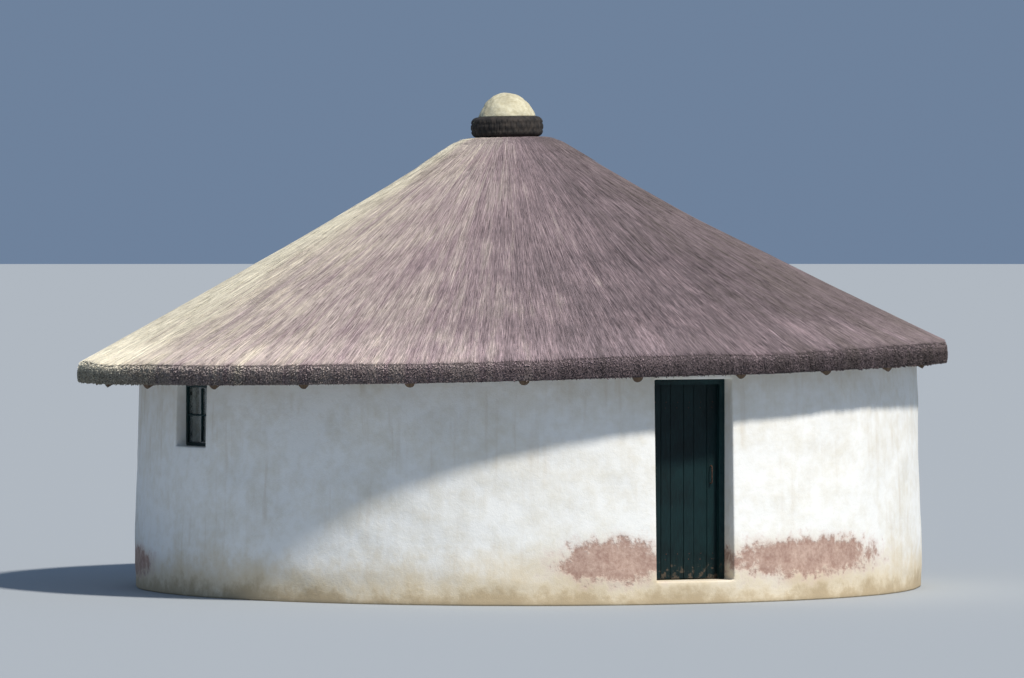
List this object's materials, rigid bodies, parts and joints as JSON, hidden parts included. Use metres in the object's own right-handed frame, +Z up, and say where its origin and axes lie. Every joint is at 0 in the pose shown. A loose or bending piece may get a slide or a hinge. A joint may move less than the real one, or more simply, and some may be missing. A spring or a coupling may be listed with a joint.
{
  "type": "rondavel hut",
  "caption": "Round one-room hut with a whitewashed earth wall, a low inward-opening plank door, small windows and a conical grass roof closed by a mortar-filled tyre.",
  "frame": {"origin": "on the axis of the round wall, at ground level, on the underside of the wall and floor", "axes": "+Z up; the door faces -Y; +X is to the right of someone who stands outside and looks at the door"},
  "size_m": [7.8988, 7.8996, 4.4731],
  "materials": {
    "door_paint": "worn dark teal gloss paint on boards",
    "earth_floor": "rammed earth under a thin trowelled cement skin",
    "frame_paint": "weathered dark teal paint on timber",
    "grass_thatch": "weathered grass thatch, combed down the slope",
    "gum_pole": "smoke-darkened debarked poles",
    "hinge_iron": "rusted black-painted iron",
    "limewashed_earth": "matt limewash over hand-floated earth plaster",
    "limewashed_lintel": "matt limewash over cast concrete",
    "mortar": "pale cream sand and cement mortar",
    "mud_filling": "rough dried mud",
    "sawn_timber": "grey-brown sawn softwood",
    "tyre_rubber": "old sun-faded tyre rubber",
    "window_glass": "thin dusty window glass"
  },
  "bodies": {
    "hut": {"beam_filling": "mud_filling", "cap_mortar": "mortar", "cap_tyre": "tyre_rubber", "door_head": "frame_paint", "door_jamb_left": "frame_paint", "door_jamb_right": "frame_paint", "door_lintel": "limewashed_lintel", "door_threshold": "limewashed_earth", "floor": "earth_floor", "hinge_plate_high": "hinge_iron", "hinge_plate_low": "hinge_iron", "jack_rafters": "gum_pole", "left_window_pane": "window_glass", "left_window_sash": "frame_paint", "main_rafters": "gum_pole", "right_window_pane": "window_glass", "right_window_sash": "frame_paint", "roof_hub": "gum_pole", "roof_laths": "gum_pole", "thatch_back": "grass_thatch", "thatch_back_left": "grass_thatch", "thatch_back_right": "grass_thatch", "thatch_crown": "grass_thatch", "thatch_front": "grass_thatch", "thatch_front_left": "grass_thatch", "thatch_front_right": "grass_thatch", "thatch_left": "grass_thatch", "thatch_right": "grass_thatch", "wall_back": "limewashed_earth", "wall_back_left": "limewashed_earth", "wall_back_right": "limewashed_earth", "wall_front_left": "limewashed_earth", "wall_front_right": "limewashed_earth", "wall_over_left_window": "limewashed_earth", "wall_over_right_window": "limewashed_earth", "wall_plate": "sawn_timber", "wall_under_left_window": "limewashed_earth", "wall_under_right_window": "limewashed_earth"},
    "door": {"door_boards": "door_paint", "door_ledge_low": "door_paint", "door_ledge_high": "door_paint", "door_brace": "door_paint", "hinge_strap_low": "hinge_iron", "hinge_strap_high": "hinge_iron", "door_handle": "hinge_iron"}
  },
  "joints": [
    {"name": "door_hinge", "type": "hinge", "parent": "hut", "child": "door", "pos_m": [-0.3345, -3.241, 1.055], "axis": [0, 0, 1], "range_deg": [0, 100]}
  ]
}
